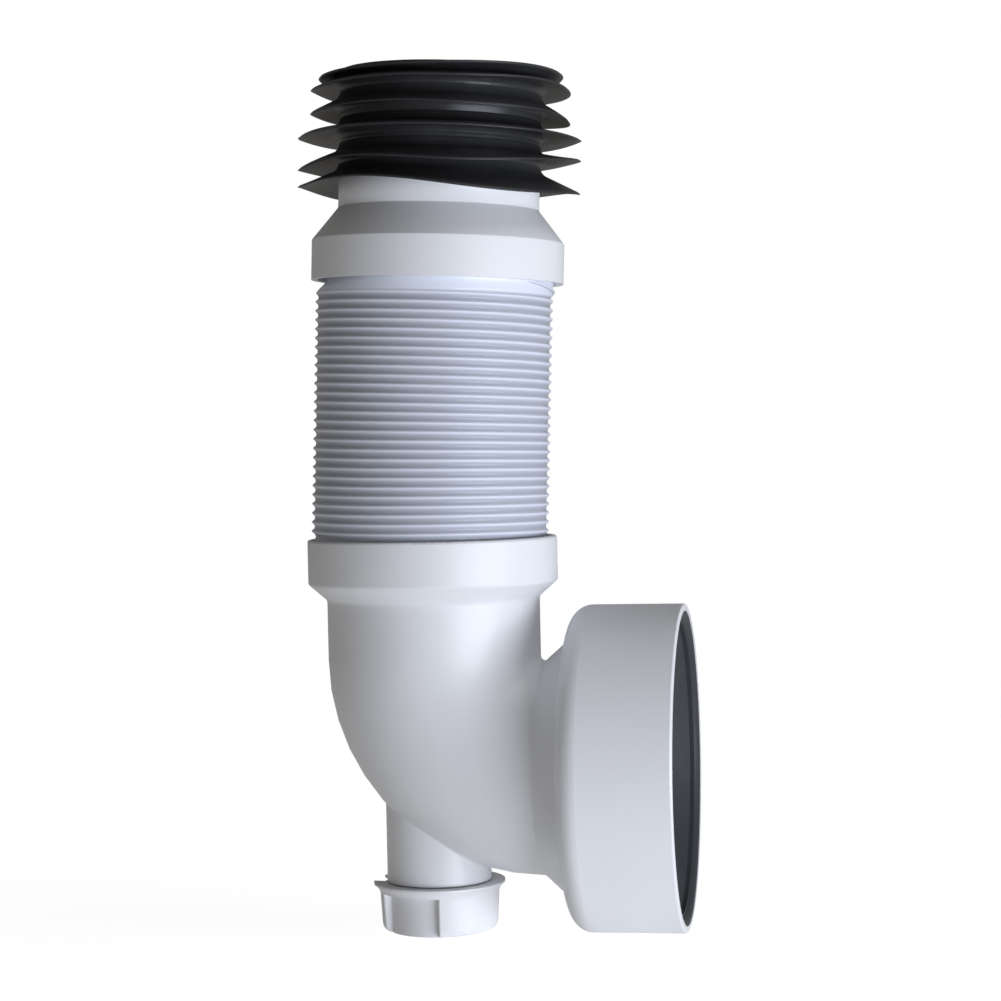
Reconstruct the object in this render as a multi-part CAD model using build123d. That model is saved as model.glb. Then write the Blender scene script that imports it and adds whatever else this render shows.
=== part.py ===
from build123d import *
import os
from math import cos, hypot, radians, sin

# Flexible toilet pan connector with a moulded elbow and a small waste branch.
# All sizes are in millimetres. The origin is the middle of the pan seal's sealing lip,
# +X points out of the pan socket and +Z points up the flexible hose to the finned seal.
# The connector stands on the branch nut and on the underside of the pan socket.

# Clearances
running_gap = 0.3
seat_gap = 0.1

# Elbow tube
tube_radius = 46.0
tube_wall = 3.2
throat_radius = 2.0
upright_length = 25.8

# Pan socket. The flare takes its share of the step from the tube up to the round shoulder.
socket_radius = 70.0
socket_wall = 3.0
socket_length = 48.5
shoulder_radius = 9.0
neck_run = 0.4
flare_length = 11.8
flare_share = 0.693
rim_round = 0.9
neck_fillet = 1.6

# Pan seal, a rubber cuff with two lips
lip_inset = 22.0
pan_lip_radius = 48.0
pan_lip_land = 2.4
outer_lip_radius = 54.0
outer_lip_ahead = 9.0
lip_root_ahead = 9.0
lip_thickness = 2.0
cuff_wall = 3.0
cuff_inset = 2.6
cuff_behind_lip = 14.0
cuff_bead = 1.4

# Hose
hose_radius = 51.3
ridge_pitch = 3.87
ridge_count = 27
ridge_depth = 1.05
hose_wall = 2.0
plain_band = 5.6
hose_lean = 2.3

# Lower collar, moulded on the elbow
hose_clearance = 0.7
collar_wall = 2.0
collar_length = 19.1
collar_taper = 7.0
hose_pocket_depth = 15.0
collar_round = 2.0

# Outlet spigot
outlet_collar_wall = 2.8
outlet_collar_length = 17.1
outlet_pocket_depth = 13.0
outlet_cone_length = 14.1
neck_radius = 43.3
neck_length = 6.6
spigot_wall = 3.0
outlet_round = 0.8

# Finned seal
core_wall = 3.1
core_length = 51.5
seal_fin_radii = [61.0, 61.0, 61.0, 56.0, 56.0, 52.6]
fin_heights = [1.4, 12.8, 23.6, 32.5, 43.9, 49.7]
fin_droop = 1.6
fin_tip = 1.1
fin_root = 2.4
seal_mouth_bevel = 1.6

# Waste branch
branch_radius = 22.6
branch_fillet = 1.0
branch_bore = 16.8
branch_reach = 24.0
thread_radius = 20.0
pipe_radius = 16.0

# Branch nut
nut_height = 21.0
nut_floor = 2.6
nut_pad_radius = 25.8
nut_recess_wall = 1.6
nut_draft = 0.9
nut_edge = 3.4
pad_edge = 0.8
flange_radius = 28.5
flange_thickness = 0.9
flange_sweep = 4.6
shoulder_gap = 0.6
pipe_clearance = 0.4
recess_drop = 4.0
recess_width = 68.0
recess_turn = -149.0
slot_width = 14.0
slot_turn = 173.0

# Slip ring and cone seal in the nut
slip_ring_thickness = 1.2
cone_base = 2.2
cone_length = 5.0
cone_mouth_wall = 1.0

# Places that follow from the sizes
bend_radius = tube_radius + throat_radius
mouth_x = lip_inset
socket_back_x = mouth_x - socket_length
flare_start_x = socket_back_x - flare_length
outlet_x = flare_start_x - neck_run - bend_radius
tube_bore = tube_radius - tube_wall
socket_bore = socket_radius - socket_wall
nut_bottom_z = -tube_radius - branch_reach
nut_top_z = nut_bottom_z + nut_height
slip_ring_z = nut_bottom_z + nut_floor + seat_gap
cone_z = slip_ring_z + slip_ring_thickness + seat_gap
branch_end_z = cone_z + cone_base + running_gap
collar_radius = hose_radius + hose_clearance + collar_wall
collar_base_z = bend_radius + upright_length
collar_top_z = collar_base_z + collar_taper + collar_length
pivot_z = collar_top_z - hose_pocket_depth / 2
hose_pivot = Location((outlet_x, 0, pivot_z), (0, hose_lean, 0))

# Heights along the hose's own axis, from the point where it pivots in the lower collar
mouth_s = hose_pocket_depth / 2
hose_foot_s = hose_radius * sin(radians(hose_lean)) + running_gap - hose_pocket_depth / 2
ridges_end_s = mouth_s + ridge_count * ridge_pitch
outlet_s = ridges_end_s + plain_band
cone_s = outlet_s + outlet_collar_length
neck_s = cone_s + outlet_cone_length
seal_s = neck_s + neck_length


def turned(outline, sweep=360):
    """Solid turned about the Z axis from a closed outline of (radius, height) points."""
    points = [(radius, 0, height) for radius, height in outline]
    return revolve(make_face(Polyline(*points, close=True)), Axis.Z, sweep)


def turned_on_x(outline):
    """Solid of revolution about the X axis from a closed outline of (x, radius) points."""
    points = [(x, 0, radius) for x, radius in outline]
    return revolve(make_face(Polyline(*points, close=True)), Axis.X)


def tube_bend(radius):
    """Quarter turn of a round bar, from the upright run to the socket's axis."""
    bar_end = Plane((outlet_x, 0, bend_radius), z_dir=(0, 0, 1)) * Circle(radius)
    bend_axis = Axis((outlet_x + bend_radius, 0, bend_radius), (0, -1, 0))
    return revolve(bar_end, bend_axis, 90)


def socket_bar(radius, flare_start, back_x, shoulder, bar_radius, end_x):
    """Solid bar through the neck and the pan socket, with its flare and round shoulder."""
    turn_start = (back_x, bar_radius - shoulder)
    neck = (flare_start, radius)
    flare_top = (back_x, radius + flare_share * (bar_radius - shoulder - radius))
    turn_middle = (back_x + shoulder * (1 - cos(radians(45))),
                   bar_radius - shoulder * (1 - sin(radians(45))))
    turn_end = (back_x + shoulder, bar_radius)
    run = [(outlet_x + bend_radius, 0), (outlet_x + bend_radius, radius), neck, flare_top, turn_start]
    outline = Polyline(*[(x, 0, r) for x, r in run])
    outline += ThreePointArc(*[(x, 0, r) for x, r in (turn_start, turn_middle, turn_end)])
    closing = [turn_end, (end_x, bar_radius), (end_x, 0), run[0]]
    outline += Polyline(*[(x, 0, r) for x, r in closing])
    return revolve(make_face(outline), Axis.X)


def round_edges(solid, radius, height, size):
    """Round the circular edge of the given radius and height."""
    chosen = [edge for edge in solid.edges().filter_by(GeomType.CIRCLE)
              if abs(edge.radius - radius) < 0.01 and abs(edge.arc_center.Z - height) < 0.01]
    return fillet(chosen, size)


def make_elbow_body():
    """Collar, bend, pan socket and branch, moulded as one piece."""
    upright = turned([
        (0, bend_radius),
        (tube_radius, bend_radius),
        (tube_radius, collar_base_z),
        (collar_radius, collar_base_z + collar_taper),
        (collar_radius, collar_top_z),
        (0, collar_top_z),
    ])
    upright = round_edges(upright, collar_radius, collar_top_z, collar_round / 2)
    upright = round_edges(upright, collar_radius, collar_base_z + collar_taper, collar_round)
    upright = round_edges(upright, tube_radius, collar_base_z, collar_round)
    upright = Location((outlet_x, 0, 0)) * upright
    socket = socket_bar(tube_radius, flare_start_x, socket_back_x, shoulder_radius,
                        socket_radius, mouth_x)
    for x, size in ((mouth_x, rim_round), (socket_back_x, neck_fillet)):
        circles = [edge for edge in socket.edges().filter_by(GeomType.CIRCLE)
                   if abs(edge.arc_center.X - x) < 0.01]
        smallest = min(circles, key=lambda edge: edge.radius)
        socket = fillet(smallest, size)
    branch = turned([
        (0, branch_end_z),
        (thread_radius, branch_end_z),
        (thread_radius, nut_top_z + shoulder_gap),
        (branch_radius, nut_top_z + shoulder_gap),
        (branch_radius, 0),
        (0, 0),
    ])
    branch = Location((outlet_x, 0, 0)) * branch
    outside = upright + tube_bend(tube_radius) + socket + branch
    outside = fillet(outside.edges().filter_by(GeomType.BSPLINE), branch_fillet)

    bore = turned([
        (0, bend_radius),
        (tube_bore, bend_radius),
        (tube_bore, collar_top_z - hose_pocket_depth),
        (hose_radius + hose_clearance, collar_top_z - hose_pocket_depth),
        (hose_radius + hose_clearance, collar_top_z + 1),
        (0, collar_top_z + 1),
    ])
    bore = Location((outlet_x, 0, 0)) * bore
    socket_hollow = socket_bar(tube_bore, flare_start_x + tube_wall / 2,
                               socket_back_x + socket_wall, shoulder_radius - socket_wall,
                               socket_bore, mouth_x + 1)
    branch_hollow = turned([
        (0, branch_end_z - 1),
        (thread_radius - cone_mouth_wall, branch_end_z - 1),
        (thread_radius - cone_mouth_wall, branch_end_z),
        (branch_bore, branch_end_z + cone_length),
        (branch_bore, 0),
        (0, 0),
    ])
    branch_hollow = Location((outlet_x, 0, 0)) * branch_hollow
    return outside - bore - tube_bend(tube_bore) - socket_hollow - branch_hollow


def make_pan_seal():
    """Rubber cuff pushed into the pan socket, with two lips that grip the pan's spigot."""
    outside = socket_bore - seat_gap
    inside = outside - cuff_wall
    front = mouth_x - cuff_inset
    back = -cuff_behind_lip
    cuff = turned_on_x([
        (back, inside),
        (back, outside),
        (front, outside),
        (front, inside - cuff_bead),
        (front - 2 * cuff_bead, inside - cuff_bead),
        (front - 3 * cuff_bead, inside),
    ])
    lips = []
    for tip_x, tip_radius in ((0, pan_lip_radius), (outer_lip_ahead, outer_lip_radius)):
        root_x = tip_x + lip_root_ahead
        lips.append(turned_on_x([
            (tip_x - pan_lip_land / 2, tip_radius),
            (tip_x + pan_lip_land / 2, tip_radius),
            (root_x + lip_thickness, inside + cuff_wall / 2),
            (root_x - lip_thickness, inside + cuff_wall / 2),
            (tip_x - pan_lip_land / 2, tip_radius + lip_thickness),
        ]))
    return cuff + lips


def make_hose():
    """Ridged flexible hose with a plain end in each collar."""
    valley = hose_radius - ridge_depth
    bore = valley - hose_wall
    outline = [(bore, hose_foot_s), (hose_radius, hose_foot_s), (hose_radius, mouth_s - ridge_pitch)]
    outline.append((valley, mouth_s - ridge_pitch / 2))
    for number in range(ridge_count):
        start = mouth_s + number * ridge_pitch
        outline.append((hose_radius, start))
        outline.append((valley, start + ridge_pitch / 2))
    outline.append((hose_radius, ridges_end_s))
    outline.append((hose_radius, outlet_s + outlet_pocket_depth - running_gap))
    outline.append((bore, outlet_s + outlet_pocket_depth - running_gap))
    return hose_pivot * turned(outline)


def make_outlet_spigot():
    """Collar, cone and neck on the hose's free end."""
    collar_bore = hose_radius + running_gap
    outside = collar_bore + outlet_collar_wall
    spigot_radius = neck_radius - core_wall
    bore = spigot_radius - spigot_wall
    spigot_end = seal_s + core_length - seal_mouth_bevel
    moulding = turned([
        (collar_bore, outlet_s),
        (outside, outlet_s),
        (outside, cone_s),
        (neck_radius, neck_s),
        (neck_radius, seal_s),
        (spigot_radius, seal_s),
        (spigot_radius, spigot_end),
        (bore, spigot_end),
        (bore, neck_s),
        (hose_radius - ridge_depth - hose_wall, outlet_s + outlet_pocket_depth),
        (collar_bore, outlet_s + outlet_pocket_depth),
    ])
    moulding = round_edges(moulding, outside, cone_s, outlet_round)
    moulding = round_edges(moulding, neck_radius, neck_s, outlet_round)
    return hose_pivot * moulding


def make_finned_seal():
    """Rubber sleeve on the spigot, with fins that press into the soil pipe."""
    core_radius = neck_radius + seat_gap
    inside = neck_radius - core_wall + seat_gap
    top = seal_s + core_length
    seal = turned([
        (inside, seal_s + seat_gap),
        (core_radius, seal_s + seat_gap),
        (core_radius, top),
        (inside, top),
    ])
    fins = []
    for radius, height in zip(seal_fin_radii, fin_heights):
        tip = seal_s + height
        root = tip + fin_droop
        fins.append(turned([
            (core_radius - core_wall / 2, root - fin_root / 2),
            (radius, tip - fin_tip / 2),
            (radius, tip + fin_tip / 2),
            (core_radius - core_wall / 2, root + fin_root / 2),
        ]))
    return hose_pivot * (seal + fins)


def make_branch_nut():
    """Nut with two raised grip pads, two recesses and a slotted flange."""
    recess_radius = thread_radius + running_gap + nut_recess_wall
    pad_top_z = nut_top_z - flange_thickness - flange_sweep
    sweep_start = (nut_pad_radius, 0, pad_top_z)
    sweep_end = (flange_radius, 0, nut_top_z - flange_thickness)
    outline = Polyline(
        sweep_end,
        (flange_radius, 0, nut_top_z),
        (0, 0, nut_top_z),
        (0, 0, nut_bottom_z),
        (nut_pad_radius - nut_draft, 0, nut_bottom_z),
        sweep_start,
    )
    outline += TangentArc(sweep_start, sweep_end, tangent=(0, 0, 1))
    outside = revolve(make_face(outline), Axis.Z)
    outside = round_edges(outside, nut_pad_radius - nut_draft, nut_bottom_z, nut_edge)
    recess = turned([
        (recess_radius, nut_bottom_z - 1),
        (recess_radius, nut_top_z - recess_drop),
        (flange_radius + 1, nut_top_z - recess_drop),
        (flange_radius + 1, nut_bottom_z - 1),
    ], recess_width)
    for turn in (recess_turn, recess_turn + 180):
        outside -= Rotation(0, 0, turn) * recess
    pad_edges = [edge for edge in outside.edges()
                 if edge.bounding_box().size.Z > nut_height / 3
                 and hypot(edge.center().X, edge.center().Y) > recess_radius + pad_edge]
    outside = fillet(pad_edges, pad_edge)
    slot_depth = flange_radius - branch_radius
    slot = Location((flange_radius, 0, nut_top_z)) * Box(2 * slot_depth, slot_width, 2 * recess_drop)
    outside -= Rotation(0, 0, slot_turn) * slot
    hollow = turned([
        (0, nut_bottom_z - 1),
        (pipe_radius + pipe_clearance, nut_bottom_z - 1),
        (pipe_radius + pipe_clearance, nut_bottom_z + nut_floor),
        (thread_radius + running_gap, nut_bottom_z + nut_floor),
        (thread_radius + running_gap, nut_top_z + 1),
        (0, nut_top_z + 1),
    ])
    return Location((outlet_x, 0, 0)) * (outside - hollow)


def make_slip_ring():
    """Flat washer that lets the nut turn on the cone seal."""
    ring = turned([
        (pipe_radius + pipe_clearance, slip_ring_z),
        (thread_radius, slip_ring_z),
        (thread_radius, slip_ring_z + slip_ring_thickness),
        (pipe_radius + pipe_clearance, slip_ring_z + slip_ring_thickness),
    ])
    return Location((outlet_x, 0, 0)) * ring


def make_cone_seal():
    """Tapered rubber ring that the nut squeezes round the waste pipe."""
    base_radius = thread_radius - cone_mouth_wall - running_gap
    ring = turned([
        (pipe_radius, cone_z),
        (base_radius, cone_z),
        (base_radius, cone_z + cone_base),
        (branch_bore - running_gap, cone_z + cone_base + cone_length),
        (pipe_radius, cone_z + cone_base + cone_length),
    ])
    return Location((outlet_x, 0, 0)) * ring


parts = {
    "elbow_body": make_elbow_body(),
    "pan_seal": make_pan_seal(),
    "flexible_hose": make_hose(),
    "outlet_spigot": make_outlet_spigot(),
    "finned_seal": make_finned_seal(),
    "branch_nut": make_branch_nut(),
    "slip_ring": make_slip_ring(),
    "cone_seal": make_cone_seal(),
}

os.makedirs("parts", exist_ok=True)
for name, shape in parts.items():
    export_step(shape, f"parts/{name}.step")
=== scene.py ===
"""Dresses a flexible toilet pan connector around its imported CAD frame.

A white moulded elbow with a pan socket and a small waste branch carries a ridged hose.
The hose ends in a white spigot with a black rubber seal of six soft lips.
"""

import logging
import math
from dataclasses import dataclass, field
from enum import Enum

import bmesh
import bpy
from mathutils import Matrix, Vector


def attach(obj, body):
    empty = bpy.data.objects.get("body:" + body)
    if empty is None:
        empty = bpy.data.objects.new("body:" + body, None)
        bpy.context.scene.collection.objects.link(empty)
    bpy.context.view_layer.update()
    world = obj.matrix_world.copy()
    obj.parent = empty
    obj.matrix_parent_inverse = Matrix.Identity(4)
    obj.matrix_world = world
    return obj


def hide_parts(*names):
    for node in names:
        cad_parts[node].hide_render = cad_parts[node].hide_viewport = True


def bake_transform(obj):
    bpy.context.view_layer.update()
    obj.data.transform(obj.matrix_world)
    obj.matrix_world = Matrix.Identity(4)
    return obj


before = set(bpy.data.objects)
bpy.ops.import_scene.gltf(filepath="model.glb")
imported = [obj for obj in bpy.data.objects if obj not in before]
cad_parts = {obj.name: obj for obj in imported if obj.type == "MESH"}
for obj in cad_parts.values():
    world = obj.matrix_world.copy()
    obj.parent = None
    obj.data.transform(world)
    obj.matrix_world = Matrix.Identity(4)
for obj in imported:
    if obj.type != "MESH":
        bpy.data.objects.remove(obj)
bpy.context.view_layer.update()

LOG = logging.getLogger("pan_connector")
MM = 0.001

# Ridges that the hose's grids have past its first and last, and a seam out of reach.
ENDS_BELOW = 4
ENDS_ABOVE = 6
NO_SEAM = 60


class Side(Enum):
    """The lower and the upper half of the hose."""

    LOWER = "lower"
    UPPER = "upper"


class Value:
    """A socket of a node tree that takes part in ordinary arithmetic."""

    def __init__(self, graph: "Graph", socket: bpy.types.NodeSocket) -> None:
        """Keep the graph that the socket belongs to."""
        self.graph = graph
        self.socket = socket

    def _math(self, operation: str, *others: "Value | float") -> "Value":
        """Add one math node that starts from this value."""
        return self.graph.math(operation, self, *others)

    def __add__(self, other: "Value | float") -> "Value":
        """Sum."""
        return self._math("ADD", other)

    def __sub__(self, other: "Value | float") -> "Value":
        """Difference."""
        return self._math("SUBTRACT", other)

    def __rsub__(self, other: float) -> "Value":
        """Difference from a plain number."""
        return self.graph.math("SUBTRACT", other, self)

    def __mul__(self, other: "Value | float") -> "Value":
        """Product."""
        return self._math("MULTIPLY", other)

    def __truediv__(self, other: "Value | float") -> "Value":
        """Quotient."""
        return self._math("DIVIDE", other)

    def __pow__(self, other: float) -> "Value":
        """Power."""
        return self._math("POWER", other)

    __radd__ = __add__
    __rmul__ = __mul__

    def sin(self) -> "Value":
        """Sine of an angle in radians."""
        return self._math("SINE")

    def cos(self) -> "Value":
        """Cosine of an angle in radians."""
        return self._math("COSINE")

    def root(self) -> "Value":
        """Square root."""
        return self._math("SQRT")

    def absolute(self) -> "Value":
        """Size without its sign."""
        return self._math("ABSOLUTE")

    def fraction(self) -> "Value":
        """Part after the whole number."""
        return self._math("FRACT")

    def at_least(self, low: "Value | float") -> "Value":
        """The larger of two values."""
        return self._math("MAXIMUM", low)

    def at_most(self, high: "Value | float") -> "Value":
        """The smaller of two values."""
        return self._math("MINIMUM", high)


class Graph:
    """Adds nodes to one node tree and links them."""

    def __init__(self, tree: bpy.types.NodeTree) -> None:
        """Start on an existing tree."""
        self.tree = tree

    def node(self, kind: str, inputs: dict | None = None, **settings: object) -> bpy.types.Node:
        """Add a node and fill its inputs.

        Args:
            kind: Blender's name of the node type.
            inputs: value or source for each input, by name or by place.
            settings: the node's own properties.

        Returns:
            The new node.
        """
        made = self.tree.nodes.new(kind)
        for name, value in settings.items():
            setattr(made, name, value)
        for key, value in (inputs or {}).items():
            if isinstance(value, Value):
                self.tree.links.new(value.socket, made.inputs[key])
            elif isinstance(value, bpy.types.NodeSocket):
                self.tree.links.new(value, made.inputs[key])
            else:
                made.inputs[key].default_value = value
        return made

    def value(self, node: bpy.types.Node, output: str | int = 0) -> Value:
        """Wrap a node's output for arithmetic."""
        return Value(self, node.outputs[output])

    def math(self, operation: str, *values: "Value | float") -> Value:
        """Add one math node over the given values."""
        inputs = dict(enumerate(values))
        return self.value(self.node("ShaderNodeMath", inputs, operation=operation))

    def step(self, value: Value, low: "Value | float", high: "Value | float") -> Value:
        """Smooth rise from 0 at low to 1 at high."""
        inputs = {"Value": value, "From Min": low, "From Max": high}
        kind = "ShaderNodeMapRange"
        return self.value(self.node(kind, inputs, interpolation_type="SMOOTHSTEP"))

    def combine(self, x: "Value | float", y: "Value | float", z: "Value | float") -> Value:
        """Vector from three values."""
        return self.value(self.node("ShaderNodeCombineXYZ", {0: x, 1: y, 2: z}))

    def noise(self, place: bpy.types.NodeSocket, scale: float, detail: float) -> Value:
        """Add a noise texture.

        Args:
            place: the coordinates that it reads.
            scale: how fine it is, per metre.
            detail: octaves.

        Returns:
            The noise, from 0 to 1.
        """
        inputs = {"Vector": place, "Scale": scale, "Detail": detail}
        return self.value(self.node("ShaderNodeTexNoise", inputs))

    def mix(self, share: "Value | float", a: "tuple | Value", b: "tuple | Value") -> Value:
        """Colour between a and b.

        Args:
            share: 0 for a, 1 for b.
            a: first colour, or its source.
            b: second colour, or its source.

        Returns:
            The mixed colour.
        """
        made = self.node("ShaderNodeMix", {0: share, 6: a, 7: b}, data_type="RGBA")
        return self.value(made, 2)


class Tree(Graph):
    """A Geometry Nodes tree with named inputs that ends in a plain mesh."""

    def __init__(self, name: str, sizes: dict[str, float]) -> None:
        """Make the tree, its material input and one input for each size."""
        super().__init__(bpy.data.node_groups.new(name, "GeometryNodeTree"))
        face = self.tree.interface
        face.new_socket("Geometry", in_out="INPUT", socket_type="NodeSocketGeometry")
        face.new_socket("Material", in_out="INPUT", socket_type="NodeSocketMaterial")
        for label, size in sizes.items():
            whole = isinstance(size, int)
            kind = "NodeSocketInt" if whole else "NodeSocketFloat"
            made = face.new_socket(label, in_out="INPUT", socket_type=kind)
            made.default_value = size
        face.new_socket("Geometry", in_out="OUTPUT", socket_type="NodeSocketGeometry")
        self.sizes = sizes
        self.start = self.node("NodeGroupInput")

    def size(self, label: str) -> Value:
        """One of the tree's named inputs."""
        return self.value(self.start, label)

    def attribute(self, name: str) -> Value:
        """A number stored on the points."""
        kind = "GeometryNodeInputNamedAttribute"
        return self.value(self.node(kind, {"Name": name}, data_type="FLOAT"))

    def store(self, geometry: bpy.types.NodeSocket, name: str, value: Value) -> bpy.types.NodeSocket:
        """Store a number on the points.

        Args:
            geometry: what to store it on.
            name: the attribute's name.
            value: what to store.

        Returns:
            The geometry with the attribute.
        """
        inputs = {"Geometry": geometry, "Name": name, "Value": value}
        kind = "GeometryNodeStoreNamedAttribute"
        return self.node(kind, inputs, data_type="FLOAT", domain="POINT").outputs["Geometry"]

    def grid(self, columns: "Value | int",
             rows: "Value | int") -> tuple[bpy.types.NodeSocket, Value, Value]:
        """Add a grid and give its two shares.

        Args:
            columns: vertices around.
            rows: vertices along.

        Returns:
            The mesh, the share around and the share along.
        """
        inputs = {"Size X": 1.0, "Size Y": 1.0, "Vertices X": columns, "Vertices Y": rows}
        sheet = self.node("GeometryNodeMeshGrid", inputs)
        place = self.node("ShaderNodeSeparateXYZ", {0: self.node("GeometryNodeInputPosition").outputs[0]})
        across, along = self.value(place, 0) + 0.5, self.value(place, 1) + 0.5
        return sheet.outputs["Mesh"], across, along

    def finish(self, geometry: bpy.types.NodeSocket, merge: float) -> bpy.types.NodeTree:
        """Close the tree with merged doubles, real instances and the material.

        Args:
            geometry: what the tree has made.
            merge: distance under which points become one, in metres.

        Returns:
            The finished node tree.
        """
        real = self.node("GeometryNodeRealizeInstances", {"Geometry": geometry})
        inputs = {"Geometry": real.outputs[0], "Distance": merge}
        welded = self.node("GeometryNodeMergeByDistance", inputs)
        smooth = self.node("GeometryNodeSetShadeSmooth", {"Geometry": welded.outputs[0]})
        inputs = {"Geometry": smooth.outputs[0], "Material": self.start.outputs["Material"]}
        dressed = self.node("GeometryNodeSetMaterial", inputs)
        self.node("NodeGroupOutput", {"Geometry": dressed.outputs[0]})
        return self.tree


def grown(name: str, tree: Tree, material: bpy.types.Material,
          seed_mesh: bpy.types.Mesh | None = None, wall: float = 0.0) -> bpy.types.Object:
    """Turn a Geometry Nodes tree into a plain mesh object.

    Args:
        name: name of the new piece.
        tree: the finished tree.
        material: what the tree puts on its faces.
        seed_mesh: points that the tree starts from.
        wall: thickness given to the sheet inwards, in metres.

    Returns:
        The piece, with its modifiers already applied.
    """
    base = bpy.data.objects.new(name + "_seed", seed_mesh or bpy.data.meshes.new(name + "_seed"))
    bpy.context.scene.collection.objects.link(base)
    modifier = base.modifiers.new("shape", "NODES")
    modifier.node_group = tree.tree
    for item in tree.tree.interface.items_tree:
        if getattr(item, "in_out", "") != "INPUT" or item.name == "Geometry":
            continue
        modifier[item.identifier] = material if item.name == "Material" else tree.sizes[item.name]
    graph = bpy.context.evaluated_depsgraph_get()
    sheet_faces = len(base.evaluated_get(graph).data.polygons)
    if wall:
        shell = base.modifiers.new("wall", "SOLIDIFY")
        shell.thickness = wall
        shell.offset = -1.0
    graph = bpy.context.evaluated_depsgraph_get()
    mesh = bpy.data.meshes.new_from_object(base.evaluated_get(graph))
    mesh.name = name
    rims = mesh.polygons[2 * sheet_faces:] if wall else ()
    for rim in rims:
        for corner in rim.loop_indices:
            mesh.edges[mesh.loops[corner].edge_index].use_edge_sharp = True
    piece = bpy.data.objects.new(name, mesh)
    bpy.context.scene.collection.objects.link(piece)
    bpy.data.objects.remove(base)
    LOG.info("%s: %d vertices, %d faces", name, len(mesh.vertices), len(mesh.polygons))
    return piece


def add_lathe(mesh: bpy.types.Mesh, outline: list[tuple[float, float]], columns: int) -> None:
    """Add a closed solid of revolution about Z to a mesh.

    Args:
        mesh: the mesh that it is added to.
        outline: closed outline of (radius, height) points in millimetres, outside upwards.
        columns: faces around.
    """
    work = bmesh.new()
    work.from_mesh(mesh)
    work.faces.ensure_lookup_table()
    slot = work.faces[0].material_index if len(work.faces) else 0
    rings = []
    for radius, height in outline:
        turns = [math.tau * n / columns for n in range(columns)]
        places = [(radius * MM * math.cos(t), radius * MM * math.sin(t), height * MM) for t in turns]
        rings.append([work.verts.new(place) for place in places])
    for number, ring in enumerate(rings):
        after = rings[(number + 1) % len(rings)]
        for n in range(columns):
            m = (n + 1) % columns
            face = work.faces.new((ring[n], ring[m], after[m], after[n]))
            face.material_index = slot
            face.smooth = outline[number][1] != outline[(number + 1) % len(outline)][1]
    work.to_mesh(mesh)
    work.free()


@dataclass(frozen=True)
class MouldedPlastic:
    """White moulded plastic with a fine satin grain, faint scuffs and, where a piece marks them, painted
    shade in the hollows between its ridges.
    """

    name: str
    colour: tuple[float, float, float]
    roughness: float = 0.36
    grain: float = 0.03
    # Strength of the painted shade in the hollows between ridges that a piece marks; 0 paints none.
    groove_shade_share: float = 0.0
    cloud_scale: float = 22.0
    speck_scale: float = 900.0
    grain_scale: float = 2400.0
    wave_scale: float = 34.0
    wave_depth: float = 0.25
    worn: float = 0.93
    worn_share: float = 0.45
    # Tone of that painted shade, as a share of the colour.
    groove_shade_tone: float = 0.48
    gloss: float = 0.42

    def material(self) -> bpy.types.Material:
        """Build the material.

        Returns:
            A procedural material that reads object coordinates.
        """
        made = bpy.data.materials.new(self.name)
        made.use_nodes = True
        made.node_tree.nodes.clear()
        graph = Graph(made.node_tree)
        place = graph.node("ShaderNodeTexCoord").outputs["Object"]
        cloud = graph.noise(place, self.cloud_scale, 3.0)
        speck = graph.noise(place, self.speck_scale, 2.0)
        grain = graph.noise(place, self.grain_scale, 2.0)
        wave = graph.noise(place, self.wave_scale, 1.0)
        deep = tuple(self.worn * part for part in self.colour) + (1.0,)
        share = graph.step(cloud, 0.3, 0.75) * self.worn_share
        base = graph.mix(share, self.colour + (1.0,), deep)
        # Painted shade: the marked hollows between the hose's ridges are darkened, standing in for the
        # shading of its ridges.
        if self.groove_shade_share:
            groove_and_shade = graph.value(graph.node("ShaderNodeAttribute", attribute_name="groove_and_shade"), "Fac")
            groove_shade_tone = tuple(self.groove_shade_tone * part for part in self.colour) + (1.0,)
            base = graph.mix(groove_and_shade * self.groove_shade_share, base, groove_shade_tone)
        rough = graph.step(speck, 0.35, 0.75) * 0.06 + cloud * 0.08 + (self.roughness - 0.06)
        fine = graph.node("ShaderNodeBump", {
            "Strength": 0.35, "Distance": self.grain * MM, "Height": grain})
        broad = graph.node("ShaderNodeBump", {
            "Strength": 0.4, "Distance": self.wave_depth * MM, "Height": wave,
            "Normal": fine.outputs[0]})
        shader = graph.node(
            "ShaderNodeBsdfPrincipled",
            {"Base Color": base, "Roughness": rough, "Normal": broad.outputs[0],
             "Specular IOR Level": self.gloss},
        )
        graph.node("ShaderNodeOutputMaterial", {"Surface": shader.outputs[0]})
        return made


@dataclass(frozen=True)
class MouldedRubber:
    """Dark rubber with a soft gloss, a fine skin texture and a little bloom."""

    name: str
    colour: tuple[float, float, float]
    bloom: tuple[float, float, float]
    roughness: float = 0.4
    gloss: float = 0.34
    cloud_scale: float = 45.0
    skin_scale: float = 1500.0
    skin_depth: float = 0.04
    bloom_share: float = 0.5

    def material(self) -> bpy.types.Material:
        """Build the material.

        Returns:
            A procedural material that reads object coordinates.
        """
        made = bpy.data.materials.new(self.name)
        made.use_nodes = True
        made.node_tree.nodes.clear()
        graph = Graph(made.node_tree)
        place = graph.node("ShaderNodeTexCoord").outputs["Object"]
        cloud = graph.noise(place, self.cloud_scale, 4.0)
        skin = graph.noise(place, self.skin_scale, 3.0)
        share = graph.step(cloud, 0.45, 0.8) * self.bloom_share
        base = graph.mix(share, self.colour + (1.0,), self.bloom + (1.0,))
        rough = cloud * 0.14 + (self.roughness - 0.07)
        bump = graph.node("ShaderNodeBump", {
            "Strength": 0.4, "Distance": self.skin_depth * MM, "Height": skin})
        shader = graph.node(
            "ShaderNodeBsdfPrincipled",
            {"Base Color": base, "Roughness": rough, "Normal": bump.outputs[0],
             "Specular IOR Level": self.gloss},
        )
        graph.node("ShaderNodeOutputMaterial", {"Surface": shader.outputs[0]})
        return made


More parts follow.
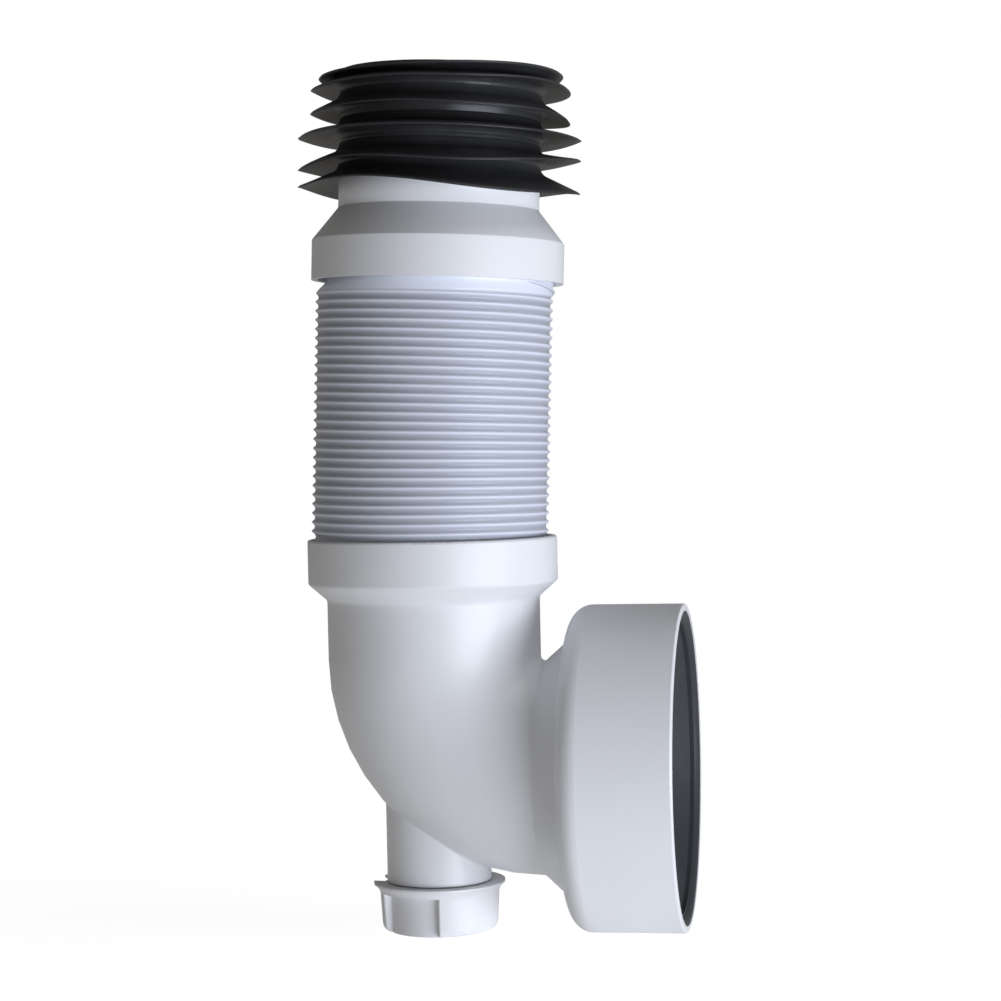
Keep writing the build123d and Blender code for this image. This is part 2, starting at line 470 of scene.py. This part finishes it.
@dataclass
class HoseLine:
    """Where the hose's own axis stands: it pivots in the lower collar and leans a little.

    The seal's foot is a height above the pivot. The drift is how far the free hose hangs to the
    left of the axis, and the front turn is the angle of the side that the photograph shows.
    """

    outlet_x: float = -86.7
    pivot_z: float = 92.4
    lean_degrees: float = 2.3
    seal_foot: float = 155.39
    drift: float = -1.2
    front_turn: float = -1.4062

    def turn(self) -> Matrix:
        """Matrix from the hose's own frame, in metres, to the row frame."""
        place = Matrix.Translation((self.outlet_x * MM, 0.0, self.pivot_z * MM))
        return place @ Matrix.Rotation(math.radians(self.lean_degrees), 4, "Y")

    def point(self, height: float) -> Vector:
        """Point on the axis at a height in millimetres above the pivot."""
        return self.turn() @ Vector((0.0, 0.0, height * MM))


@dataclass
class RidgedHose:
    """The ridged hose, made as two halves that meet in the hollow between two ridges."""

    line: HoseLine
    crest_radius: float = 51.3
    ridge_depth: float = 1.3
    pitch: float = 3.87
    ridge_count: int = 27
    mouth: float = 7.5
    foot: float = -5.1
    outlet: float = 117.59
    top: float = 130.2
    wall: float = 0.9
    columns: int = 168
    rows_per_ridge: int = 9
    split_ridge: int = 11
    steep_share: float = 0.44
    left_taper: float = 4.2
    sharpness: float = 2.0
    ease: float = 0.6
    cuff_drop: float = 3.4
    cuff_ease: float = 1.0
    band_inset: float = 0.35
    taper_run: float = 5.6
    taper_focus: float = 4.0
    settle_run: float = 80.0
    hold_low: tuple[float, float] = (-3.0, 2.0)
    hold_high: tuple[float, float] = (4.0, 9.0)
    lap_inset: float = 0.08
    lap_depth: float = 1.4
    weld: float = 0.02

    def tree(self, side: Side) -> Tree:
        """Build the Geometry Nodes tree of one half.

        Args:
            side: which half.

        Returns:
            The finished tree.
        """
        lower = side is Side.LOWER
        first = -ENDS_BELOW if lower else self.split_ridge
        last = self.split_ridge + 1 if lower else self.ridge_count + ENDS_ABOVE
        seam = self.split_ridge if lower else self.ridge_count + NO_SEAM
        tree = Tree(
            f"hose_{side.value}",
            {
                "Crest radius": self.crest_radius * MM,
                "Ridge depth": self.ridge_depth * MM,
                "Pitch": self.pitch * MM,
                "Mouth": self.mouth * MM,
                "Foot": self.foot * MM,
                "Top": self.top * MM,
                "Plain from": (self.mouth + self.ridge_count * self.pitch) * MM,
                "First ridge": float(first),
                "Ridges": float(last - first),
                "Columns": self.columns + 1,
                "Rows": (last - first) * self.rows_per_ridge + 1,
                "Settle": math.tan(math.radians(self.line.lean_degrees)),
                "Drift": self.line.drift * MM,
                "Left taper": self.left_taper * MM,
                "Front": self.line.front_turn,
                "Seam": float(seam),
            },
        )
        mesh, across, along = tree.grid(tree.size("Columns"), tree.size("Rows"))
        angle = across * math.tau
        turns = along * tree.size("Ridges") + tree.size("First ridge")
        level = (turns - across) * tree.size("Pitch") + tree.size("Mouth")
        phase = turns.fraction()
        rise = tree.step(phase, 0.0, 1.0 - self.steep_share)
        drop = tree.step(phase, 1.0 - self.steep_share, 1.0)
        crest = (rise - drop) ** self.sharpness
        mouth, top_band = tree.size("Mouth"), tree.size("Plain from")
        plain = tree.step(level, top_band - self.ease * MM, top_band + self.ease * MM)
        low = mouth - self.cuff_drop * MM
        cuff = 1.0 - tree.step(level, low - self.cuff_ease * MM, low)
        # 1 in the hollows between ridges: it sinks the surface there and is stored on the points, where
        #                                  the material turns it into painted shade.
        groove_and_shade = (1.0 - crest) * (1.0 - plain) * (1.0 - cuff)
        radius = tree.size("Crest radius") - groove_and_shade * tree.size("Ridge depth")
        radius = radius - plain * self.band_inset * MM
        left = (0.5 - (angle - tree.size("Front")).sin() * 0.5) ** self.taper_focus
        narrow = tree.step(level, top_band - 0.5 * MM, top_band + self.taper_run * MM)
        radius = radius - left * narrow * tree.size("Left taper")
        under = tree.step(turns, tree.size("Seam"), tree.size("Seam") + 0.05)
        under = under * (1.0 - tree.step(across, 0.97, 1.0))
        past = (level - mouth) / tree.size("Pitch") - tree.size("Seam")
        radius = radius - under * self.lap_inset * MM - tree.step(past, 0.1, 0.6) * self.lap_depth * MM
        settle = 1.0 - tree.step(level, mouth, mouth + self.settle_run * MM)
        level = level + radius * angle.cos() * tree.size("Settle") * settle
        low_hold, high_hold = self.hold_low, self.hold_high
        held = tree.step(level, mouth + low_hold[0] * MM, mouth + low_hold[1] * MM)
        free = tree.step(level, top_band + high_hold[0] * MM, top_band + high_hold[1] * MM)
        level = level.at_least(tree.size("Foot")).at_most(tree.size("Top"))
        aside = held * (1.0 - free) * tree.size("Drift")
        place = tree.combine(radius * angle.cos() + aside, radius * angle.sin(), level)
        shaped = tree.node("GeometryNodeSetPosition", {
            "Geometry": tree.store(mesh, "groove_and_shade", groove_and_shade), "Position": place})
        tree.finish(shaped.outputs[0], self.weld * MM)
        return tree

    def build(self, finish: MouldedPlastic) -> list[bpy.types.Object]:
        """Make both halves and put them on the hose's axis.

        Args:
            finish: the hose's plastic.

        Returns:
            The two halves and the ridge's loose end.
        """
        material = finish.material()
        split = self.mouth + self.split_ridge * self.pitch
        made = []
        for side in Side:
            piece = grown(f"ridged_hose_{side.value}", self.tree(side), material, wall=self.wall * MM)
            piece.data.transform(self.line.turn())
            made.append(piece)
        lower, upper = made
        start, end = (self.line.point(height - self.pitch) for height in (self.mouth, split))
        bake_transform(lower)
        start, end = (self.line.point(height) for height in (split, self.outlet))
        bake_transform(upper)
        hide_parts("flexible_hose")
        made.append(HoseEnd(self.line).build(material, split, self.outlet))
        return made


@dataclass
class SealLip:
    """One soft lip of the seal, in millimetres above the seal's foot.

    A lip that closes the sleeve's upper end (1) or lower end (-1) has no fillet on that side.
    """

    radius: float
    height: float
    droop: float = 3.6
    side_tilt: float = 0.0
    sag: float = 0.0
    sag_turn: float = 0.0
    sag_width: float = 0.8
    wave: float = 0.25
    wave_turn: float = 0.0
    twist: float = 0.0
    pinch_left: float = 5.0
    pinch_right: float = 0.0
    closed: float = 0.0


def seal_lips() -> list[SealLip]:
    """The six lips, from the lowest to the highest."""
    return [
        SealLip(61.0, 1.7, side_tilt=1.05, sag=3.7, sag_turn=0.48, sag_width=0.42, wave=0.65,
                wave_turn=2.47, droop=6.2, twist=3.0, closed=-1.0),
        SealLip(61.0, 12.3, side_tilt=-2.2, sag=3.5, sag_turn=0.26, sag_width=0.42, wave=0.6,
                wave_turn=2.86, twist=2.2),
        SealLip(61.0, 22.8, side_tilt=-0.95, sag=-1.4, sag_turn=-0.8, sag_width=0.74, wave_turn=3.9,
                pinch_right=5.0),
        SealLip(56.0, 34.6, side_tilt=-1.6, sag=5.2, sag_turn=1.4, sag_width=0.69, wave=0.55,
                wave_turn=4.59),
        SealLip(56.0, 43.4, side_tilt=-0.6, sag=-1.5, sag_turn=0.24, sag_width=0.64, wave=0.55,
                wave_turn=-1.47),
        SealLip(52.6, 48.9, droop=0.6, side_tilt=-1.1, sag=-1.7, sag_turn=0.75, sag_width=0.8,
                wave=0.1, wave_turn=4.8, pinch_left=0.0, closed=1.0),
    ]


@dataclass
class FinnedSeal:
    """The black rubber sleeve with six soft lips."""

    line: HoseLine
    core_radius: float = 43.4
    core_bore: float = 40.3
    core_foot: float = 6.1
    core_length: float = 50.3
    lip_tip: float = 0.55
    lip_root: float = 1.5
    fillet: float = 3.4
    overlap: float = 0.6
    profile_power: float = 1.7
    bend_power: float = 1.4
    nose: float = 0.1
    pinch_focus: float = 4.0
    weld: float = 0.005
    columns: int = 168
    rows: int = 60
    lips: list[SealLip] = field(default_factory=seal_lips)

    def seed(self) -> bpy.types.Mesh:
        """Make one point for each lip, with the lip's sizes stored on it.

        Returns:
            The mesh of points.
        """
        mesh = bpy.data.meshes.new("lip_points")
        mesh.from_pydata([(0.0, 0.0, lip.height * MM) for lip in self.lips], [], [])
        scales = {"radius": MM, "droop": MM, "side_tilt": MM, "sag": MM, "sag_turn": 1.0,
                  "sag_width": 1.0, "wave": MM, "wave_turn": 1.0, "height": MM, "twist": MM,
                  "pinch_left": MM, "pinch_right": MM, "closed": 1.0}
        for name, scale in scales.items():
            values = mesh.attributes.new("lip_" + name, "FLOAT", "POINT").data
            for place, lip in zip(values, self.lips):
                place.value = getattr(lip, name) * scale
        return mesh

    def tree(self) -> Tree:
        """Build the Geometry Nodes tree: one lip on each point.

        Returns:
            The finished tree.
        """
        tree = Tree(
            "soft_lips",
            {
                "Core radius": self.core_radius * MM,
                "Tip": self.lip_tip * MM,
                "Root": self.lip_root * MM,
                "Fillet": self.fillet * MM,
                "Front": self.line.front_turn,
                "Columns": self.columns + 1,
                "Rows": self.rows + 1,
            },
        )
        sheet, across, along = tree.grid(tree.size("Columns"), tree.size("Rows"))
        sheet = tree.store(sheet, "around", across)
        sheet = tree.store(sheet, "section", along * 2.0 - 1.0)
        copies = tree.node("GeometryNodeInstanceOnPoints", {
            "Points": tree.start.outputs["Geometry"], "Instance": sheet})
        real = tree.node("GeometryNodeRealizeInstances", {"Geometry": copies.outputs[0]}).outputs[0]
        angle = tree.attribute("around") * math.tau
        section = tree.attribute("section")
        out = (1.0 - section.absolute()) ** self.profile_power
        core, tip, overlap = tree.size("Core radius"), tree.attribute("lip_radius"), self.overlap * MM
        reach = (tip - core + overlap) * out
        half = tree.size("Tip") + (tree.size("Root") - tree.size("Tip")) * (1.0 - out)
        nose = 1.0 - ((out - (1.0 - self.nose)) / self.nose).at_least(0.0)
        half = half * (1.0 - (1.0 - nose) * (1.0 - nose)).at_least(0.0).root()
        curl = (1.0 - (reach - overlap).at_least(0.0) / tree.size("Fillet")).at_least(0.0)
        sign = section / section.absolute().at_least(0.0001)
        closed = tree.attribute("lip_closed")
        open_side = 1.0 - closed.absolute() * (sign * closed + 1.0) * 0.5
        half = half + tree.size("Fillet") * (1.0 - (1.0 - curl * curl).root()) * open_side
        front = angle - tree.size("Front")
        height = tree.attribute("lip_droop") * (1.0 - out) + sign * half
        height = height + self.bend(tree, front) * out ** self.bend_power
        radius = core - overlap + reach
        level = height + tree.attribute("lip_height")
        place = tree.combine(radius * angle.cos(), radius * angle.sin(), level)
        lips = tree.node("GeometryNodeSetPosition", {"Geometry": real, "Position": place}).outputs[0]
        tree.finish(lips, self.weld * MM)
        return tree

    def bend(self, tree: Tree, front: Value) -> Value:
        """How far each lip's rim hangs off its plane.

        Args:
            tree: the tree that the lips are made in.
            front: angle from the side that the photograph shows, in radians.

        Returns:
            The rise of the rim, in metres.
        """
        away = (front - tree.attribute("lip_sag_turn")) / 2.0
        bump = away.sin() * 2.0 / tree.attribute("lip_sag_width")
        sag = tree.attribute("lip_sag") * tree.math("EXPONENT", bump * bump * -0.5)
        turn = tree.attribute("lip_wave_turn")
        ripple = (front * 3.0 + turn).sin() + (front * 5.0 + turn * 2.0).sin() * 0.6
        tilt = tree.attribute("lip_side_tilt") * front.sin()
        bend = tree.attribute("lip_wave") * ripple - sag - tilt
        near = front.cos()
        behind = (near * -2.0).at_least(0.0) * front.sin()
        bend = bend + tree.attribute("lip_twist") * behind
        left = (0.5 - front.sin() * 0.5) ** 4.0 * tree.attribute("lip_pinch_left")
        right = (0.5 + front.sin() * 0.5) ** 4.0 * tree.attribute("lip_pinch_right")
        pinch = near * tree.math("EXPONENT", near * near * -self.pinch_focus)
        return bend - (left + right) * pinch

    def sleeve(self) -> list[tuple[float, float]]:
        """Outline of the sleeve under the lips, as radius and height in millimetres."""
        end = self.core_length
        return [
            (self.core_bore, self.core_foot),
            (self.core_radius, self.core_foot),
            (self.core_radius, end - 0.9),
            (self.core_radius - 0.3, end - 0.25),
            (self.core_radius - 0.9, end),
            (self.core_bore + 0.6, end),
            (self.core_bore, end - 0.6),
        ]

    def build(self, finish: MouldedRubber) -> bpy.types.Object:
        """Make the seal and put it on the spigot.

        Args:
            finish: the seal's rubber.

        Returns:
            The piece.
        """
        piece = grown("soft_lip_seal", self.tree(), finish.material(), self.seed())
        add_lathe(piece.data, self.sleeve(), self.columns)
        place = Matrix.Translation((0.0, 0.0, self.line.seal_foot * MM))
        piece.data.transform(self.line.turn() @ place)
        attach(piece, "outlet")
        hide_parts("finned_seal")
        return piece


@dataclass
class Ring:
    """A turned ring that finishes a moulding where the photograph shows it."""

    name: str
    body: str
    slot: str
    place: Matrix
    outline: list[tuple[float, float]]
    columns: int = 192

    def build(self, material: bpy.types.Material) -> bpy.types.Object:
        """Make the ring and put it on its body.

        Args:
            material: what the ring is made of.

        Returns:
            The piece.
        """
        mesh = bpy.data.meshes.new(self.name)
        add_lathe(mesh, self.outline, self.columns)
        mesh.transform(self.place)
        mesh.materials.append(material)
        piece = bpy.data.objects.new(self.name, mesh)
        bpy.context.scene.collection.objects.link(piece)
        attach(piece, self.body)
        LOG.info("%s: %d faces", self.name, len(mesh.polygons))
        return piece


def cuff_front(mouth_x: float = 22.0, bore: float = 62.45, outside: float = 66.95) -> Ring:
    """Rounded front of the rubber cuff, which fills the socket's mouth up to the rim.

    Args:
        mouth_x: where the socket ends, in millimetres.
        bore: radius inside the cuff's bead.
        outside: outer radius, just inside the socket's wall.

    Returns:
        The ring, whose outline starts deep in the socket.
    """
    outline = [
        (bore + 1.4, -7.2), (bore + 1.6, -7.0), (bore + 0.1, -5.5), (bore + 0.1, -2.7), (outside, -2.5),
        (outside, -0.5), (outside - 0.2, -0.3), (outside - 0.8, -0.35), (outside - 1.7, -0.8),
        (outside - 2.6, -1.5), (outside - 3.4, -2.4), (outside - 4.0, -3.4), (bore + 0.1, -4.4),
        (bore, -5.4), (bore + 0.25, -6.1), (bore + 0.8, -6.7),
    ]
    place = Matrix.Translation((mouth_x * MM, 0.0, 0.0)) @ Matrix.Rotation(math.pi / 2, 4, "Y")
    return Ring("cuff_front", "elbow", "grey_rubber", place, outline)


def neck_ring(line: HoseLine, inside: float = 40.25, outside: float = 43.3) -> Ring:
    """Top of the spigot's white neck, which stands up under the lowest lip.

    Args:
        line: the hose's axis.
        inside: inner radius, on the spigot.
        outside: the neck's radius.

    Returns:
        The ring.
    """
    outline = [
        (outside - 0.1, -6.3), (outside + 0.04, -6.3), (outside + 0.04, 5.5), (outside - 0.4, 6.0),
        (inside, 6.0), (inside, 0.05), (outside - 0.1, 0.05),
    ]
    place = line.turn() @ Matrix.Translation((0.0, 0.0, line.seal_foot * MM))
    return Ring("neck_ring", "outlet", "white_plastic", place, outline)


@dataclass
class HoseEnd:
    """The loose end of the hose's ridge, which runs up under the upper collar at the right."""

    line: HoseLine
    radius: float = 51.0
    first_turn: float = -0.6
    last_turn: float = 0.36
    high: float = 118.1
    low: float = 113.0
    width: float = 1.0
    rise: float = 1.2
    sunk: float = 0.25
    fade: float = 0.2
    wall: float = 0.4
    weld: float = 0.001

    def tree(self) -> Tree:
        """Build the Geometry Nodes tree: a strip that fades out at both ends, with a painted shadow along
        its lower edge.

        Returns:
            The finished tree.
        """
        tree = Tree("hose_end", {
            "Radius": self.radius * MM, "Drift": self.line.drift * MM, "First turn": self.first_turn,
            "Last turn": self.last_turn, "High": self.high * MM, "Low": self.low * MM,
            "Width": self.width * MM, "Rise": self.rise * MM, "Along": 61, "Across": 9})
        mesh, along, across = tree.grid(tree.size("Along"), tree.size("Across"))
        angle = tree.size("First turn") + (tree.size("Last turn") - tree.size("First turn")) * along
        side = across * 2.0 - 1.0
        fade = tree.step(along, 0.0, self.fade) * (1.0 - tree.step(along, 1.0 - self.fade, 1.0))
        bulge = tree.size("Rise") * (1.0 - side * side) * fade
        radius = tree.size("Radius") - self.sunk * MM + bulge
        level = tree.size("High") + (tree.size("Low") - tree.size("High")) * along
        level = level + side * tree.size("Width")
        place = tree.combine(radius * angle.cos() + tree.size("Drift"), radius * angle.sin(), level)
        # Painted shadow: the strip's lower edge is marked for the hose's material, which darkens it as a
        # shadow line under the strip.
        shade = tree.store(mesh, "groove_and_shade", 1.0 - tree.step(across, 0.05, 0.4))
        shaped = tree.node("GeometryNodeSetPosition", {"Geometry": shade, "Position": place})
        tree.finish(shaped.outputs[0], self.weld * MM)
        return tree

    def build(self, material: bpy.types.Material, start: float, end: float) -> bpy.types.Object:
        """Make the strip and put it on the hose's axis, over the hose.

        Args:
            material: the hose's plastic.
            start: height where the hose starts to follow its free end.
            end: height where it follows it fully.

        Returns:
            The piece.
        """
        piece = grown("hose_end", self.tree(), material, wall=self.wall * MM)
        piece.data.transform(self.line.turn())
        start_point, end_point = self.line.point(start), self.line.point(end)
        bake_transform(piece)
        return piece


@dataclass
class Mouldings:
    """The CAD solids whose shape is right: they get their finish here."""

    finishes: dict[str, bpy.types.Material]

    def dress(self) -> None:
        """Give each carried-over solid its material."""
        for node, material in self.finishes.items():
            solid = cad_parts[node]
            solid.data.materials.clear()
            solid.data.materials.append(material)
            LOG.info("%s: %d faces carried over", node, len(solid.data.polygons))


@dataclass
class Camera:
    """The camera, fitted to the photograph."""

    target_x: float = -86.7
    turn_degrees: float = 9.428
    distance: float = 1074.3
    sideways: float = 29.85
    height: float = 142.9
    pitch_degrees: float = -1.476
    roll_degrees: float = -1.209
    focal_pixels: float = 2482.1
    frame_pixels: float = 1001.0
    sensor: float = 36.0

    def build(self) -> bpy.types.Object:
        """Make the camera and set it.

        Returns:
            The camera object.
        """
        turn, pitch = math.radians(self.turn_degrees), math.radians(self.pitch_degrees)
        roll = math.radians(self.roll_degrees)
        out = Vector((math.sin(turn), -math.cos(turn), 0.0))
        right = Vector((math.cos(turn), math.sin(turn), 0.0))
        up = Vector((0.0, 0.0, 1.0))
        place = Vector((self.target_x, 0.0, self.height))
        place = place + out * self.distance + right * self.sideways
        ahead = -out * math.cos(pitch) + up * math.sin(pitch)
        above = up * math.cos(pitch) + out * math.sin(pitch)
        right_rolled = right * math.cos(roll) + above * math.sin(roll)
        up_rolled = above * math.cos(roll) - right * math.sin(roll)
        axes = Matrix((right_rolled, up_rolled, -ahead)).transposed()
        data = bpy.data.cameras.new("camera")
        data.sensor_width = self.sensor
        data.lens = self.focal_pixels / self.frame_pixels * self.sensor
        data.clip_start = 0.05
        data.clip_end = 50.0
        camera = bpy.data.objects.new("camera", data)
        camera.matrix_world = Matrix.Translation(place * MM) @ axes.to_4x4()
        bpy.context.scene.collection.objects.link(camera)
        bpy.context.scene.camera = camera
        return camera


@dataclass(frozen=True)
class Lamp:
    """One soft lamp that points at the connector.

    The turn is in degrees to the right of the camera's side, the rise in degrees above the
    middle, the distance and the size in metres and the power in watts.
    """

    name: str
    turn: float
    rise: float
    distance: float
    size: tuple[float, float]
    power: float
    colour: tuple[float, float, float] = (1.0, 1.0, 1.0)

    def hang(self, middle: Vector, facing: float) -> None:
        """Hang the lamp.

        Args:
            middle: the point that it is aimed at, in metres.
            facing: where the camera stands, in degrees to the right of the frame's front.
        """
        front = math.radians(self.turn + facing - 90.0)
        lift = math.radians(self.rise)
        level = Vector((math.cos(front), math.sin(front), 0.0)) * math.cos(lift)
        away = level + Vector((0.0, 0.0, math.sin(lift)))
        data = bpy.data.lights.new(self.name, "AREA")
        data.shape = "RECTANGLE"
        data.size, data.size_y = self.size
        data.energy = self.power
        data.color = self.colour
        lamp = bpy.data.objects.new(self.name, data)
        aim = away.to_track_quat("Z", "Y").to_matrix().to_4x4()
        lamp.matrix_world = Matrix.Translation(middle + away * self.distance) @ aim
        bpy.context.scene.collection.objects.link(lamp)


def studio_lamps() -> tuple[Lamp, ...]:
    """A wide low window at the right and two weak fill lamps."""
    return (
        Lamp("window", 45.0, -13.0, 1.6, (1.5, 0.42), 22.2, colour=(0.915, 0.96, 1.08)),
        Lamp("low_right", 75.0, -48.0, 1.0, (0.35, 0.35), 0.4),
        Lamp("sky_right", 70.0, 60.0, 1.6, (0.8, 0.8), 4.5),
    )


@dataclass
class Studio:
    """Plain pale floor, white surroundings and soft light."""

    floor_z: float = -0.0702
    floor_radius: float = 1.2
    floor_bounce: float = 0.3
    floor_white: float = 0.6
    floor_fade: tuple[float, float] = (0.3, 0.95)
    floor_sides: int = 48
    middle: tuple[float, float, float] = (-0.05, 0.0, 0.11)
    facing_degrees: float = 9.4
    sky: float = 0.105
    low_sky: float = 0.14
    low_sky_heights: tuple[float, float] = (-0.1, 0.7)
    sky_colour: tuple[float, float, float] = (1.0, 0.96, 0.9)
    lamps: tuple[Lamp, ...] = field(default_factory=studio_lamps)

    def floor(self) -> bpy.types.Object:
        """Make the pale floor, which fades into the white surroundings.

        Returns:
            The floor object.
        """
        side, steps = self.floor_radius, self.floor_sides
        turns = [math.tau * n / steps for n in range(steps)]
        rim = [(side * math.cos(turn) + self.middle[0], side * math.sin(turn) + self.middle[1],
                self.floor_z) for turn in turns]
        mesh = bpy.data.meshes.new("floor")
        mesh.from_pydata(rim, [], [tuple(range(steps))])
        floor = bpy.data.objects.new("floor", mesh)
        bpy.context.scene.collection.objects.link(floor)
        mesh.materials.append(self.floor_material())
        floor.visible_shadow = False
        return floor

    def floor_material(self) -> bpy.types.Material:
        """Pale matt floor whose edge fades out.

        Returns:
            The material.
        """
        made = bpy.data.materials.new("pale_floor")
        made.use_nodes = True
        made.node_tree.nodes.clear()
        graph = Graph(made.node_tree)
        place = graph.node("ShaderNodeTexCoord").outputs["Object"]
        centre = (self.middle[0], self.middle[1], self.floor_z)
        offset = graph.node("ShaderNodeVectorMath", {0: place, 1: centre}, operation="DISTANCE")
        near, far = (share * self.floor_radius for share in self.floor_fade)
        fade = graph.step(graph.value(offset, "Value"), near, far)
        seen = graph.value(graph.node("ShaderNodeLightPath"), "Is Camera Ray")
        strength = seen * self.floor_white + self.floor_bounce
        matt = graph.node("ShaderNodeBsdfDiffuse", {"Color": (0.5, 0.5, 0.5, 1.0)})
        glow = graph.node("ShaderNodeEmission", {"Color": (1.0, 1.0, 1.0, 1.0), "Strength": strength})
        lit = graph.node("ShaderNodeAddShader", {0: matt.outputs[0], 1: glow.outputs[0]})
        clear = graph.node("ShaderNodeBsdfTransparent")
        mixed = graph.node("ShaderNodeMixShader", {0: fade, 1: lit.outputs[0], 2: clear.outputs[0]})
        graph.node("ShaderNodeOutputMaterial", {"Surface": mixed.outputs[0]})
        return made

    def surroundings(self) -> None:
        """White behind the connector, a softer grey as light on it."""
        world = bpy.data.worlds.new("white_surroundings")
        world.use_nodes = True
        world.node_tree.nodes.clear()
        graph = Graph(world.node_tree)
        seen = graph.node("ShaderNodeBackground", {"Color": (1.0, 1.0, 1.0, 1.0), "Strength": 1.0})
        direction = graph.node("ShaderNodeTexCoord").outputs["Generated"]
        height = graph.value(graph.node("ShaderNodeSeparateXYZ", {0: direction}), 2)
        glow = (1.0 - graph.step(height, *self.low_sky_heights)) * self.low_sky + self.sky
        around = graph.node("ShaderNodeBackground", {
            "Color": self.sky_colour + (1.0,), "Strength": glow})
        share = graph.node("ShaderNodeLightPath").outputs["Is Camera Ray"]
        mixed = graph.node("ShaderNodeMixShader", {0: share, 1: around.outputs[0], 2: seen.outputs[0]})
        graph.node("ShaderNodeOutputWorld", {"Surface": mixed.outputs[0]})
        bpy.context.scene.world = world

    def build(self) -> None:
        """Set up the floor, the surroundings and the lamps."""
        self.floor()
        self.surroundings()
        for lamp in self.lamps:
            lamp.hang(Vector(self.middle), self.facing_degrees)
        view = bpy.context.scene.view_settings
        view.view_transform = "Standard"
        view.look = "None"
        view.exposure = 0.0
        view.gamma = 1.0


def main() -> None:
    """Build the studio and dress the connector piece by piece."""
    logging.basicConfig(level=logging.INFO, format="%(name)s %(message)s")
    Camera().build()
    Studio().build()
    line = HoseLine()
    white = MouldedPlastic("white_moulding", (0.835, 0.85, 0.88)).material()
    # The hose's plastic paints shade into the hollows between its ridges.
    hose_white = MouldedPlastic("hose_plastic", (0.80, 0.84, 0.95), roughness=0.34, grain=0.02,
                                groove_shade_share=0.9)
    nut_white = MouldedPlastic("nut_plastic", (0.84, 0.85, 0.875), roughness=0.4).material()
    ring_white = MouldedPlastic("ring_plastic", (0.72, 0.73, 0.75), roughness=0.45).material()
    black = MouldedRubber("seal_rubber", (0.032, 0.0325, 0.035), (0.05, 0.051, 0.055),
                          roughness=0.35)
    grey = MouldedRubber("cuff_rubber", (0.036, 0.039, 0.045), (0.06, 0.064, 0.07),
                         roughness=0.5).material()
    Mouldings({
        "elbow_body": white,
        "outlet_spigot": white,
        "branch_nut": nut_white,
        "slip_ring": ring_white,
        "cone_seal": grey,
        "pan_seal": grey,
    }).dress()
    cuff_front().build(grey)
    neck_ring(line).build(white)
    RidgedHose(line).build(hose_white)
    FinnedSeal(line).build(black)


if __name__ == "__main__":
    main()
